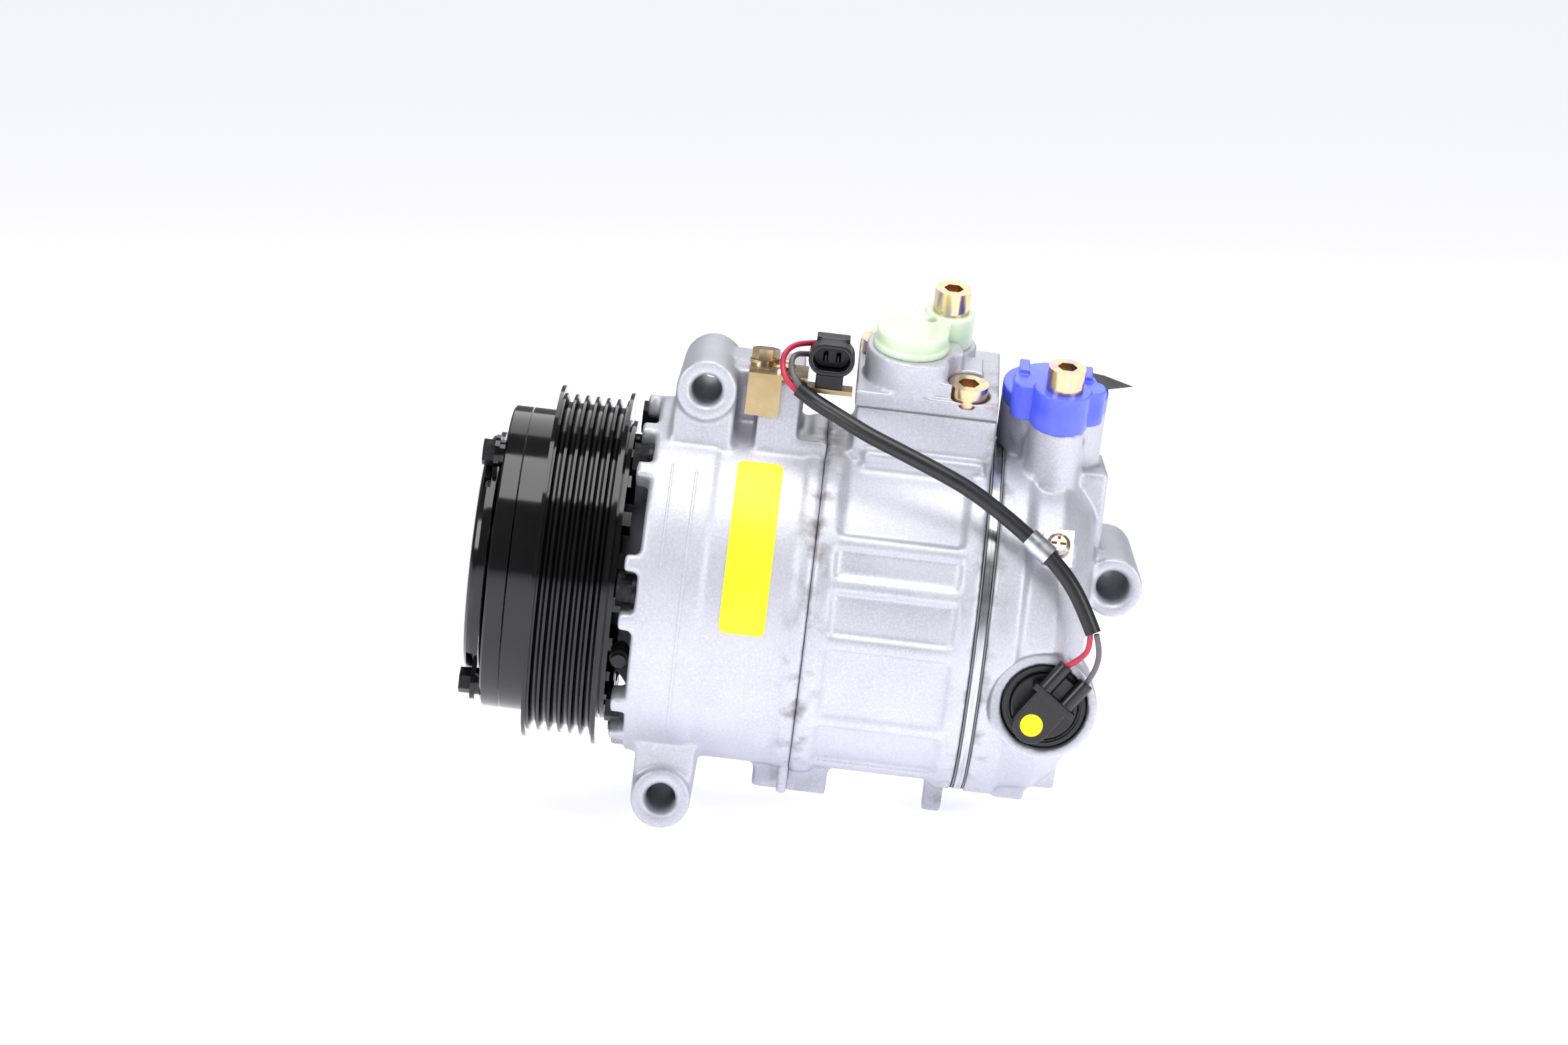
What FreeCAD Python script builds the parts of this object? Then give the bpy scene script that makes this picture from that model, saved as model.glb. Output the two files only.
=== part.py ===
"""Seven-cylinder variable-displacement air-conditioning compressor for a car, driven by a ribbed belt.

X runs along the shaft from the pulley nose (-X) to the rear housing, Z is up and Y runs along the bores
of the three mounting lugs. The origin is on the shaft axis in the middle plane of the belt.
"Around" angles turn about the shaft, from +Z towards -Y.
"""
import FreeCAD, Part
import math
import os
import re
import Sketcher
from FreeCAD import Placement, Rotation, Vector

doc = FreeCAD.newDocument("compressor")

DRIVING_SIZES = {
    # belt pulley and magnetic clutch
    "belt_pitch": 3.56,
    "belt_half": 12.3,
    "flange_radius": 59.5,
    "ridge_radius": 57.0,
    "groove_radius": 54.2,
    "drum_radius": 51.0,
    "armature_front": -27.4,
    "armature_rear": -21.2,
    "clutch_gap": 0.5,
    "web_thickness": 6.0,
    "rim_inner": 49.2,
    "bearing_front": -11.0,
    "bearing_rear": 12.0,
    "bearing_bore": 15.0,
    "bearing_outer": 27.5,
    "cup_radius": 40.3,
    "cup_front": -34.6,
    "ear_front": -30.8,
    "sheet_metal": 1.6,
    "ear_bolt_circle": 44.9,
    "coil_plate_front": 12.8,
    # housings
    "tooth_front": 16.8,
    "notch_floor": 21.5,
    "body_radius": 60.0,
    "seam_front": 77.7,
    "seam_rear": 132.5,
    "rear_start": 136.5,
    "rear_end": 169.0,
    "bolt_circle": 52.5,
    "bolt_radius": 4.0,
    "bolt_phase": 86.4,
    "lug_height": 69.0,
    "lug_station": 36.5,
    "lug_radius": 10.0,
    "lug_bore": 5.1,
    "lug_half": 35.0,
    "rear_lug_station": 176.6,
    "rear_lug_height": 19.6,
    "rear_lug_radius": 9.8,
    # pumping parts
    "cylinders": 7,
    "piston_circle": 38.0,
    "piston_radius": 15.0,
    "running_fit": 0.05,
    "loose_fit": 0.3,
    "shaft_radius": 8.0,
    "plate_station": 70.0,
    "plate_half": 3.5,
    "plate_radius": 46.0,
    "shoe_radius": 6.6,
    # ports, in a frame that leans towards the front side
    "port_lean": 17.0,
    "discharge_station": 101.4,
    "discharge_across": 4.0,
    "suction_station": 151.0,
    "suction_across": 12.0,
    "seam_level": 76.0,
    "flange_level": 82.0,
    "discharge_level": 93.0,
    "suction_level": 76.0,
    # control valve and harness
    "valve_station": 158.0,
    "valve_height": -19.0,
    "valve_face": -50.5,
    "cap_radius": 14.0,
    "sleeve_radius": 2.65,
    "wire_radius": 0.95,
}

sheet = doc.addObject("Spreadsheet::Sheet", "sizes")
for row, (alias, number) in enumerate(DRIVING_SIZES.items(), 1):
    sheet.set(f"A{row}", alias)
    sheet.set(f"B{row}", str(number))
    sheet.setAlias(f"B{row}", alias)
doc.recompute()

TURN_STEP = 360.0 / DRIVING_SIZES["cylinders"]
BOLT_ANGLES = [DRIVING_SIZES["bolt_phase"] + TURN_STEP * k for k in range(DRIVING_SIZES["cylinders"])]
PISTON_ANGLES = [angle + TURN_STEP / 2 for angle in BOLT_ANGLES]
TOP_DEAD_CENTRE = BOLT_ANGLES[0]
EAR_ANGLES = (31.0, 151.0, 271.0)
X_AXIS, Y_AXIS, Z_AXIS = Vector(1, 0, 0), Vector(0, 1, 0), Vector(0, 0, 1)

pieces = []


# ---- helpers: formulas, placements and solids -------------------------------------------------------

def mm(alias):
    """The number in one cell of the sheet."""
    return float(sheet.get(alias))


def formula(text):
    """A sheet formula from one written with bare aliases."""
    def cell(word):
        return "sizes." + word.group(0) if word.group(0) in DRIVING_SIZES else word.group(0)
    return re.sub(r"[a-z_]+", cell, str(text))


def worth(text):
    """The present value of a formula, worked out in a spare cell of the sheet."""
    sheet.set("D1", f"={text}")
    sheet.recompute()
    return float(sheet.get("D1"))


def around(angle, radius, along=0.0):
    """The point at an angle about the shaft."""
    turn = math.radians(angle)
    return Vector(along, -radius * math.sin(turn), radius * math.cos(turn))


def about_shaft(angle, along=0.0, radius=0.0):
    """A placement whose own Z points outwards from the shaft at that angle."""
    return Placement(around(angle, radius, along), Rotation(X_AXIS, angle))


def leaning(along=0.0, across=0.0, level=0.0):
    """A placement in the frame of the two ports: across runs to the back, level away from the shaft."""
    lean = Placement(Vector(), Rotation(X_AXIS, mm("port_lean")))
    return lean.multiply(Placement(Vector(along, across, level), Rotation()))


def facing(direction, point):
    """A placement at a point, with its own Z along a direction."""
    return Placement(point, Rotation(Z_AXIS, direction))


def keep(thing, label):
    """Names a finished piece and lists it for export."""
    thing.Label = label
    pieces.append(thing)
    return thing


def outline_sketch(body, outline):
    """A closed outline of (along, radius) formulas on the body's own XZ plane, fully constrained."""
    plane = next(item for item in body.Origin.OriginFeatures if item.Role == "XZ_Plane")
    sketch = body.newObject("Sketcher::SketchObject", "Outline")
    sketch.AttachmentSupport = [(plane, "")]
    sketch.MapMode = "FlatFace"
    points = [Vector(worth(along), worth(radius), 0) for along, radius in outline]
    count = len(points)
    for k in range(count):
        sketch.addGeometry(Part.LineSegment(points[k], points[(k + 1) % count]), False)
    for k in range(count):
        sketch.addConstraint(Sketcher.Constraint("Coincident", k, 2, (k + 1) % count, 1))
        for kind, axis, text, number in (("DistanceX", -2, outline[k][0], points[k].x),
                                         ("DistanceY", -1, outline[k][1], points[k].y)):
            if abs(number) < 1e-9:
                sketch.addConstraint(Sketcher.Constraint("PointOnObject", k, 1, axis))
            else:
                row = sketch.addConstraint(Sketcher.Constraint(kind, -1, 1, k, 1, number))
                sketch.setExpression(f"Constraints[{row}]", formula(text))
    return sketch


def turned(name, outline, placement=None):
    """A body turned about its own X axis from an outline."""
    body = doc.addObject("PartDesign::Body", name)
    turn = body.newObject("PartDesign::Revolution", "Turn")
    turn.Profile = outline_sketch(body, outline)
    turn.ReferenceAxis = (turn.Profile[0], ["H_Axis"])
    turn.Angle = 360
    if placement:
        body.Placement = placement
    return body


def ring(name, inner, outer, start, end, placement=None):
    """A plain ring about X."""
    return turned(name, [(start, inner), (end, inner), (end, outer), (start, outer)], placement)


def rod(radius, length, placement=None):
    """A cylinder along its own Z."""
    thing = doc.addObject("Part::Cylinder", "Rod")
    thing.setExpression("Radius", formula(radius))
    thing.setExpression("Height", formula(length))
    thing.Placement = placement or Placement()
    return thing


def cone(bottom, top, length, placement):
    """A cone along its own Z."""
    thing = doc.addObject("Part::Cone", "Cone")
    thing.setExpression("Radius1", formula(bottom))
    thing.setExpression("Radius2", formula(top))
    thing.setExpression("Height", formula(length))
    thing.Placement = placement
    return thing


def ball(radius, placement):
    """A sphere."""
    thing = doc.addObject("Part::Sphere", "Ball")
    thing.setExpression("Radius", formula(radius))
    thing.Placement = placement
    return thing


def block(length, width, height, placement=None, corner=(0.0, 0.0, 0.0)):
    """A box whose corner has the given offset inside the placement."""
    thing = doc.addObject("Part::Box", "Block")
    for name, size in (("Length", length), ("Width", width), ("Height", height)):
        thing.setExpression(name, formula(size))
    thing.Placement = (placement or Placement()).multiply(Placement(Vector(*corner), Rotation()))
    return thing


def hexagon(across_flats, height, placement):
    """A hexagonal prism along its own Z."""
    thing = doc.addObject("Part::Prism", "Hexagon")
    thing.Polygon = 6
    thing.setExpression("Circumradius", formula(f"({across_flats}) / 2 / cos(30)"))
    thing.setExpression("Height", formula(height))
    thing.Placement = placement
    return thing


def fused(*things):
    """One solid from several."""
    thing = doc.addObject("Part::MultiFuse", "Fused")
    thing.Shapes = list(things)
    thing.Refine = True
    return thing


def without(base, *tools):
    """A solid less its cuts."""
    thing = doc.addObject("Part::Cut", "Less")
    thing.Base = base
    thing.Tool = tools[0] if len(tools) == 1 else fused(*tools)
    thing.Refine = True
    return thing


def group(*things):
    """Separate solids that share a node."""
    thing = doc.addObject("Part::Compound", "Group")
    thing.Links = list(things)
    return thing


def donut(centre_radius, thickness_radius, placement):
    """A torus about its own Z."""
    thing = doc.addObject("Part::Torus", "Donut")
    thing.setExpression("Radius1", formula(centre_radius))
    thing.setExpression("Radius2", formula(thickness_radius))
    thing.Placement = placement
    return thing


def along_shaft(x, y=0.0, z=0.0):
    """A placement whose own Z points along the shaft to the rear."""
    return facing(X_AXIS, Vector(x, y, z))


def bolt_holes(radius, start, length):
    """The cuts for the seven through bolts."""
    return [rod(radius, length, along_shaft(start, *around(angle, mm("bolt_circle"))[1:]))
            for angle in BOLT_ANGLES]


# ---- magnetic clutch --------------------------------------------------------------------------------

def rotor_pulley():
    """Steel rotor: six V grooves in the rim, a friction web in front and the seat of its bearing."""
    front = "armature_rear + clutch_gap"
    web_rear = f"{front} + web_thickness"
    outline = [(front, "bearing_outer - 2"), (front, "drum_radius"), ("-belt_half", "drum_radius"),
               ("-belt_half", "flange_radius"), ("1.3 - belt_half", "flange_radius"),
               ("1.5 - belt_half", "ridge_radius")]
    for k in range(6):
        centre = f"{k - 2.5} * belt_pitch"
        outline += [(f"{centre} - 1.32", "ridge_radius"), (f"{centre} - 0.36", "groove_radius"),
                    (f"{centre} + 0.36", "groove_radius"), (f"{centre} + 1.32", "ridge_radius")]
    outline += [("belt_half - 1.5", "ridge_radius"), ("belt_half - 1.3", "flange_radius"),
                ("belt_half", "flange_radius"), ("belt_half", "rim_inner"), (web_rear, "rim_inner"),
                (web_rear, "bearing_outer + 4"), ("bearing_rear - 0.6", "bearing_outer + 4"),
                ("bearing_rear - 0.6", "bearing_outer"), ("bearing_front", "bearing_outer"),
                ("bearing_front", "bearing_outer - 2")]
    keep(turned("RotorPulley", outline), "rotor_pulley")


def pulley_bearing():
    """Deep-groove ball bearing on the nose of the front housing."""
    middle = along_shaft((mm("bearing_front") + mm("bearing_rear")) / 2)
    ball_circle = (mm("bearing_bore") + mm("bearing_outer")) / 2
    outer = ring("OuterRace", "bearing_outer - 3.5", "bearing_outer", "bearing_front", "bearing_rear")
    inner = ring("InnerRace", "bearing_bore", "bearing_bore + 3.5", "bearing_front", "bearing_rear")
    keep(without(outer, donut(ball_circle, "3.9", middle)), "bearing_outer_race")
    keep(without(inner, donut(ball_circle, "3.9", middle)), "bearing_inner_race")
    balls = [ball("3.8", Placement(around(30 * k, ball_circle, middle.Base.x), Rotation()))
             for k in range(12)]
    keep(group(*balls), "bearing_balls")
    bearing_clip = ring("BearingClip", "bearing_bore", "bearing_bore + 2.5",
                        "bearing_front - 1.4", "bearing_front")
    coil_clip = ring("CoilClip", "bearing_bore + 4", "bearing_bore + 6", "coil_plate_front - 1.3",
                     "coil_plate_front")
    keep(group(bearing_clip, coil_clip), "circlips")


def field_coil():
    """Coil in its steel shell inside the rotor, on a thin mounting plate with black stiffening lobes."""
    front = "armature_rear + clutch_gap + web_thickness + 0.9"
    shell = turned("CoilShell", [(front, "bearing_outer + 5"), (front, "bearing_outer + 6.4"),
                                 ("coil_plate_front - 1.5", "bearing_outer + 6.4"),
                                 ("coil_plate_front - 1.5", "rim_inner - 2.4"),
                                 (front, "rim_inner - 2.4"), (front, "rim_inner - 1"),
                                 ("coil_plate_front", "rim_inner - 1"),
                                 ("coil_plate_front", "bearing_outer + 5")])
    keep(ring("CoilWinding", "bearing_outer + 6.4", "rim_inner - 2.4", front, "coil_plate_front - 1.5"),
         "coil_winding")
    plate = ring("CoilPlate", "bearing_bore + 4.5", "drum_radius - 0.6", "coil_plate_front",
                 "coil_plate_front + 1.4")
    lobes = [block("3", "5", "8.5", about_shaft(k * 18 + 4, mm("coil_plate_front") + 1.0, 37.5),
                   (0, -2.5, 0)) for k in range(20)]
    keep(fused(shell, plate, *lobes), "coil_shell")
    lead = rod("2.5", "9", about_shaft(112, 18.2, 46.5))
    folds = [rod("3.1", "1.1", about_shaft(112, 18.2, 48 + 2.3 * k)) for k in range(3)]
    keep(fused(lead, *folds), "coil_lead_grommet")


def armature():
    """Friction plate, the stamped cup that carries it on three ears, and the three ear bolts."""
    plate = turned("ArmaturePlate", [("armature_front", 28), ("armature_front", "drum_radius - 0.6"),
                                     ("armature_front + 0.6", "drum_radius"),
                                     ("armature_rear", "drum_radius"), ("armature_rear", 28)])
    ears = [about_shaft(angle, mm("ear_front"), mm("ear_bolt_circle")) for angle in EAR_ANGLES]
    towards_rear = Rotation(Y_AXIS, 90)
    holes = [Placement(ear.Base, towards_rear) for ear in ears]
    keep(without(plate, *[rod("2.5", "12", hole) for hole in holes]), "armature_plate")

    cup = turned("Cup", [("cup_front", 26), ("cup_front", "cup_radius - 3"),
                         ("cup_front + 0.4", "cup_radius - 1.5"), ("cup_front + 1.3", "cup_radius - 0.4"),
                         ("cup_front + 2.6", "cup_radius"), ("ear_front", "cup_radius"),
                         ("ear_front", "cup_radius + 1.2"),
                         ("ear_front + sheet_metal", "cup_radius + 1.2"),
                         ("ear_front + sheet_metal", "cup_radius - sheet_metal"),
                         ("cup_front + 2.6", "cup_radius - sheet_metal"),
                         ("cup_front + sheet_metal", "cup_radius - 3"), ("cup_front + sheet_metal", 26)])
    tips = [rod("drum_radius - ear_bolt_circle", "sheet_metal", hole) for hole in holes]
    roots = [block("sheet_metal", "14.6", "5", ear, (0, -7.3, -5)) for ear in ears]
    spacers = [rod("4.5", "armature_front - ear_front", hole) for hole in holes]
    bores = [rod("2.6", "12", hole) for hole in holes]
    slots = [block("2.4", "4", "6", about_shaft(angle + side * 12.5, mm("ear_front") - 2.4, 36.5),
                   (0, -2, 0)) for angle in EAR_ANGLES for side in (-1, 1)]
    head_room = [rod("4.8", "3.9", Placement(ear.Base - X_AXIS * 3.9, towards_rear)) for ear in ears]
    damper_room = rod("cup_radius - sheet_metal", "5", along_shaft(mm("cup_front") + 2.6))
    keep(without(fused(cup, *tips, *roots, *spacers), *bores, *slots, *head_room, damper_room),
         "clutch_cup")

    bolts = []
    for ear in ears:
        head = Placement(ear.Base - Vector(4, 0, 0), towards_rear)
        bolts.append(fused(hexagon("7.6", "4", head), rod("2.5", "12.6", head)))
    keep(group(*bolts), "ear_bolts")


def clutch_hub():
    """Splined hub, the rubber damper around it and the screw-on nut that holds both on the shaft."""
    keep(turned("Hub", [(-29.5, 7), (-29.5, 12), (-32.6, 12), (-32.6, 22), (-28.8, 22), (-28.8, 13),
                        (-15, 13), (-15, 7)]), "clutch_hub")
    keep(ring("Damper", "22 + running_fit", "cup_radius - sheet_metal", "cup_front + 2.6",
              "ear_front + 1.4"),
         "rubber_damper")
    nut = hexagon("13", "4.4", along_shaft(-33.9))
    keep(without(nut, rod("4", "6", along_shaft(-34.5))), "hub_nut")


# ---- shaft and pumping parts ------------------------------------------------------------------------

def shaft_parts():
    """Drive shaft, lug plate with its two hinge arms, and the bearings and seal around them."""
    keep(turned("Shaft", [(-33.5, 0), (-33.5, 4), (-29.3, 4), (-29.3, 7), (-14, 7),
                          (-14, "shaft_radius"), (122, "shaft_radius"), (122, 0)]), "drive_shaft")
    arm_side = about_shaft(TOP_DEAD_CENTRE)
    disc = ring("LugDisc", "shaft_radius", 44, 25.9, 32)
    arms = [block("26.3", "5", "16", arm_side, (31, side, 24)) for side in (3.4, -8.4)]
    slot_path = [(53 - 0.6 * step, 30 + 0.98 * step) for step in range(5)]
    slots = [rod("2.9", "24", arm_side.multiply(Placement(Vector(along, -12, out), Rotation(X_AXIS, -90))))
             for along, out in slot_path]
    keep(without(fused(disc, *arms), *slots), "lug_plate")
    bearings = [ring("ThrustBearing", "shaft_radius + 6", 26, 24, 25.8),
                ring("FrontNeedles", "shaft_radius + running_fit", 12.5, 13, 23),
                ring("RearNeedles", "shaft_radius + running_fit", 12, 96, 108),
                ring("RearThrust", "shaft_radius + running_fit", 15.5, 108.1, 110)]
    keep(group(*bearings), "shaft_bearings")
    coils = [donut("10.6", "0.9", along_shaft(33.2 + 3.45 * k)) for k in range(9)]
    keep(group(*coils), "swash_return_spring")


def shaft_seal():
    """The lip seal in the nose of the front housing."""
    return ring("Seal", "shaft_radius + running_fit", 12.5, 3, 11)


def swash_parts():
    """Ball sleeve that slides on the shaft, the swash plate that tilts on it, and the hinge pin."""
    station = mm("plate_station")
    middle = Placement(Vector(station, 0, 0), Rotation())
    ends = [block("12", "40", "40", middle, (start, -20, -20)) for start in (7, -19)]
    bore = rod("shaft_radius + running_fit", "60", along_shaft(station - 30))
    keep(without(ball("15", middle), bore, *ends), "swash_sleeve")

    disc = turned("SwashDisc", [("plate_station - 6", 10), ("plate_station - 6", 22),
                                ("plate_station - plate_half", 24),
                                ("plate_station - plate_half", "plate_radius"),
                                ("plate_station + plate_half", "plate_radius"),
                                ("plate_station + plate_half", 24), ("plate_station + 6", 22),
                                ("plate_station + 6", 10)])
    arm_side = about_shaft(TOP_DEAD_CENTRE)
    tongue = [block("8", "6", "9", arm_side, (49.5, -3, 25)), block("17", "6", "6.4", arm_side, (50, -3, 22))]
    pin_seat = arm_side.multiply(Placement(Vector(53, -8.3, 30), Rotation(X_AXIS, -90)))
    keep(without(fused(disc, *tongue), ball("15 + running_fit", middle), rod("2.5", "16.6", pin_seat)),
         "swash_plate")
    keep(rod("2.5", "16.6", pin_seat), "hinge_pin")


def piston(number, angle):
    """One single-headed piston with the C-shaped bridge that reaches over the rim of the swash plate."""
    station, circle = mm("plate_station"), mm("piston_circle")
    crown = turned(f"Piston{number}", [(82, 0), (82, "piston_radius"), (94, "piston_radius"), (94, 11),
                                       (119, 11), (119, "piston_radius"), (122, "piston_radius"),
                                       (122, "piston_radius - 1.2"), (124, "piston_radius - 1.2"),
                                       (124, "piston_radius"), (131.6, "piston_radius"), (131.6, 0)],
                   about_shaft(angle, 0, circle))
    seat = about_shaft(angle, station, circle)
    bridge = block("23.5", "15", "22.5", seat, (-11, -7.5, -7.5))
    gap = block("14.4", "20", "17.5", seat, (-7.2, -10, -7.5))
    keep(without(fused(crown, bridge), gap, ball("9.15", seat)), f"piston_{number}")


def shoe_pair(number, angle):
    """The two half-ball shoes that ride on the faces of the swash plate inside one piston."""
    seat = about_shaft(angle, mm("plate_station"), mm("piston_circle"))
    slab = block("2 * (plate_half + loose_fit)", "20", "20", seat,
                 (-mm("plate_half") - mm("loose_fit"), -10, -10))
    keep(without(ball("9", seat), slab), f"shoe_pair_{number}")


# ---- housings ---------------------------------------------------------------------------------------

def lug(height, station, radius, bore):
    """A mounting tube along Y and the cuts for its bore and its two chamfers."""
    towards_back = Rotation(X_AXIS, -90)
    near = Vector(station, -mm("lug_half"), height)
    tube = rod(radius, "2 * lug_half", Placement(near, towards_back))
    cuts = [rod(bore, "2 * lug_half + 2", Placement(near - Y_AXIS, towards_back)),
            cone(f"{bore} + 1.3", bore, "1.3", Placement(near, towards_back)),
            cone(f"{bore} + 1.3", bore, "1.3",
                 Placement(near + Vector(0, 2 * mm("lug_half"), 0), Rotation(X_AXIS, 90)))]
    return tube, cuts


def front_housing():
    """Crankcase casting: bearing nose, toothed front edge, two long lugs and the bracket seat."""
    shell = turned("FrontShell", [(-12.5, 9), (-12.5, "bearing_bore"), ("bearing_rear", "bearing_bore"),
                                  ("bearing_rear", "bearing_bore + 4"),
                                  ("coil_plate_front + 1.4", "bearing_bore + 4"),
                                  ("coil_plate_front + 1.4", 32), ("notch_floor - 3", 36),
                                  ("notch_floor", 40), ("notch_floor", "body_radius - 1"),
                                  ("notch_floor + 1", "body_radius"), (42, "body_radius"),
                                  (43.5, "body_radius - 0.9"), (72, "body_radius - 0.9"),
                                  (73, "body_radius"), ("seam_front - 0.8", "body_radius"),
                                  ("seam_front", "body_radius - 0.8"), ("seam_front", 54), (28, 54),
                                  (24, 50), (24, 12.5), (2, 12.5), (2, 9)])
    teeth = [block("6", "5.6", "7.6", about_shaft(angle + side * 9.6, mm("tooth_front"), 52.2),
                   (0, -2.8, 0)) for angle in BOLT_ANGLES for side in (-1, 1)]
    station = mm("lug_station")
    solids, cuts = [], []
    for sign in (1, -1):
        tube, bores = lug(sign * mm("lug_height"), station, "lug_radius", "lug_bore")
        web_low = 50 if sign > 0 else -mm("lug_height")
        solids += [tube, block("20", "2 * lug_half - 5", "lug_height - 50", corner=(
            station - 10, -mm("lug_half") + 2.5, web_low))]
        cuts += bores
    back_rib = block("22", "14", "31", corner=(46.5, -15, 44))
    plateau = block("24", "26", "32.5", corner=(44, -1.5, 44))
    seat = block("13.4", "26", "37", corner=(54, -31, 38))
    step = block("10.4", "26", "24", corner=(67.3, -31, 32))
    low_boss = block("seam_front - 66", "18", "14", corner=(66, -9, -67))
    tab = block("3.4", "4", "14", corner=(74.3, -20, -66))
    ribs = [block("30", "3", "3.4", about_shaft(angle, 44, 57), (0, -1.5, 0)) for angle in (200, 236, 310)]
    body = fused(shell, *teeth, *solids, back_rib, plateau, seat, step, low_boss, tab, *ribs)
    cavity = rod("54", "seam_front - 28", along_shaft(28))
    nose_cut = rod("12.5", "24", along_shaft(2))
    threads = [rod("2.5", "14", Placement(Vector(x, y, 62), Rotation()))
               for x, y in ((60.2, -24), (60.7, -10), (54.3, -7), (48.4, 15))]
    cuts += bolt_holes("bolt_radius + 0.1", 10, "80")
    keep(without(body, cavity, nose_cut, *threads, *cuts), "front_housing")


def cylinder_block():
    """Block with seven bores, recessed flanks with axial ribs, a foot and the seat of the port block."""
    mouths = [block("8", "16", "24", about_shaft(angle, 75, mm("piston_circle")), (0, -8, -8))
              for angle in PISTON_ANGLES]
    shell = turned("BlockShell", [("seam_front", 17), ("seam_front", "body_radius - 0.6"),
                                  ("seam_front + 0.8", "body_radius + 0.4"), (84, "body_radius + 0.4"),
                                  (85.5, "body_radius - 1.8"), (125, "body_radius - 1.8"),
                                  (126.5, "body_radius + 0.4"), ("seam_rear - 0.6", "body_radius + 0.4"),
                                  ("seam_rear", "body_radius"), ("seam_rear", 16), (108, 16),
                                  (108, 12), (95, 12), (95, 17)])
    ribs = [block("42", "4", "3.6", about_shaft(angle, 84, 56.4), (0, -2, 0))
            for angle in (62, 76, 94.5, 124, 150, 210, 236, 262, 288)]
    foot = block("6.4", "9", "12", corner=(124.2, -4.5, -69.4))
    low_boss = block("91 - seam_front", "18", "14", corner=(mm("seam_front"), -9, -67))
    pad = block("seam_rear - 86", "43", "seam_level - 38", leaning(85.9, -12, 38))
    swell = block("40", "12", "26", leaning(90, -16, 36))
    bores = [rod("piston_radius + running_fit", "60", along_shaft(75, *around(angle, mm("piston_circle"))[1:]))
             for angle in PISTON_ANGLES]
    port_x, port_w = mm("discharge_station"), mm("discharge_across")
    passage = [rod("8", "20", leaning(port_x, port_w, mm("seam_level") - 12)),
               rod("5", "10", leaning(port_x, port_w, mm("seam_level") - 20))]
    keep(without(fused(shell, *ribs, foot, low_boss, pad, swell), *passage,
                 rod("16", "30", along_shaft(108)), rod("17", "18", along_shaft(77)),
                 *bores, *mouths, *bolt_holes("bolt_radius + 0.1", 70, "80")), "cylinder_block")


def plate_stack():
    """The gaskets, reed plates and valve plate between the block and the rear housing."""
    stack = [("block_gasket", 132.5, 132.9, 60), ("suction_reeds", 132.9, 133.3, 59.4),
             ("valve_plate", 133.3, 135.7, 60.2), ("discharge_reeds", 135.7, 136.1, 59.4),
             ("rear_gasket", 136.1, 136.5, 60)]
    plates = {}
    for label, start, end, radius in stack:
        plate = rod(radius, str(round(end - start, 2)), along_shaft(start))
        ports = []
        for angle in PISTON_ANGLES:
            if label in ("suction_reeds", "valve_plate", "discharge_reeds"):
                ports.append(rod("3.2", "3", along_shaft(start - 0.3, *around(angle, 44)[1:])))
                ports.append(rod("2.6", "3", along_shaft(start - 0.3, *around(angle, 27)[1:])))
            else:
                ports.append(rod("piston_radius", "3", along_shaft(start - 0.3, *around(angle, 38)[1:])))
        plates[label] = without(plate, *ports, *bolt_holes("bolt_radius + 0.1", 130, "8"))
    keep(plates["valve_plate"], "valve_plate")
    keep(group(plates["suction_reeds"], plates["discharge_reeds"]), "reed_plates")
    keep(group(plates["block_gasket"], plates["rear_gasket"], port_gasket()), "gaskets")


def rear_housing():
    """Rear casting: suction and discharge chambers, stepped foot pads, suction tower and valve pocket."""
    shell = turned("RearShell", [("rear_start", 0), ("rear_start", "body_radius"),
                                 ("rear_start + 0.6", "body_radius + 0.6"), (146, "body_radius + 0.6"),
                                 (148, "body_radius - 2"), (158, "body_radius - 2.6"), (163, 53.5),
                                 (167, 49), ("rear_end", 45), ("rear_end", 0)])
    suction_room = turned("SuctionRoom", [(136, 32), (136, 46), (148, 46), (148, 32)])
    discharge_room = rod("26", "12", along_shaft(136))
    tube, bores = lug(mm("rear_lug_height"), mm("rear_lug_station"), "rear_lug_radius", "lug_bore + 0.4")
    lug_web = block("16", "2 * lug_half - 8", "16.3", corner=(160, 4 - mm("lug_half"), 13))
    port_x, port_w = mm("suction_station"), mm("suction_across")
    lobes = [rod("17.6", "suction_level - 36", leaning(port_x, port_w, 36)),
             rod("8.9", "suction_level - 30", leaning(port_x + 1.2, port_w - 19, 30)),
             block("20", "20", "31", leaning(port_x - 9, port_w - 18, 38)),
             block("16.5", "44", "28", corner=(155, -22, 27))]
    stack_room = rod("body_radius + 0.4", "4.5", along_shaft(mm("rear_start") - 4.5))
    pads = [block("14", "28", "10", corner=(153, -14, -55)), block("10", "36", "10", corner=(147, -18, -59))]
    clamp_seat = rod("6.5", "8", about_shaft(56, 156, 52))
    station, height = mm("valve_station"), mm("valve_height")
    towards_back = Rotation(X_AXIS, -90)
    collar = rod("cap_radius + 3.4", "30", Placement(Vector(station, -53.5, height), towards_back))
    pocket = rod("cap_radius + 0.3", "9.2", Placement(Vector(station, -54, height), towards_back))
    barrel = rod("8.8", "50", Placement(Vector(station, -46, height), towards_back))
    spot_face = rod("cap_radius + 4.4", "7", Placement(Vector(station, -60.5, height), towards_back))
    port = rod("8", "30", leaning(port_x, port_w, mm("suction_level") - 28))
    screw_hole = rod("3", "16", leaning(port_x + 1.7, port_w - 19, mm("suction_level") - 14))
    clamp_hole = rod("1.8", "10", about_shaft(56, 156, 51))
    keep(without(fused(shell, tube, lug_web, *lobes, *pads, clamp_seat, collar), stack_room, suction_room,
                 discharge_room, *bores, pocket, barrel, spot_face, port, screw_hole, clamp_hole,
                 *bolt_holes("bolt_radius", 130, "26")), "rear_housing")


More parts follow.
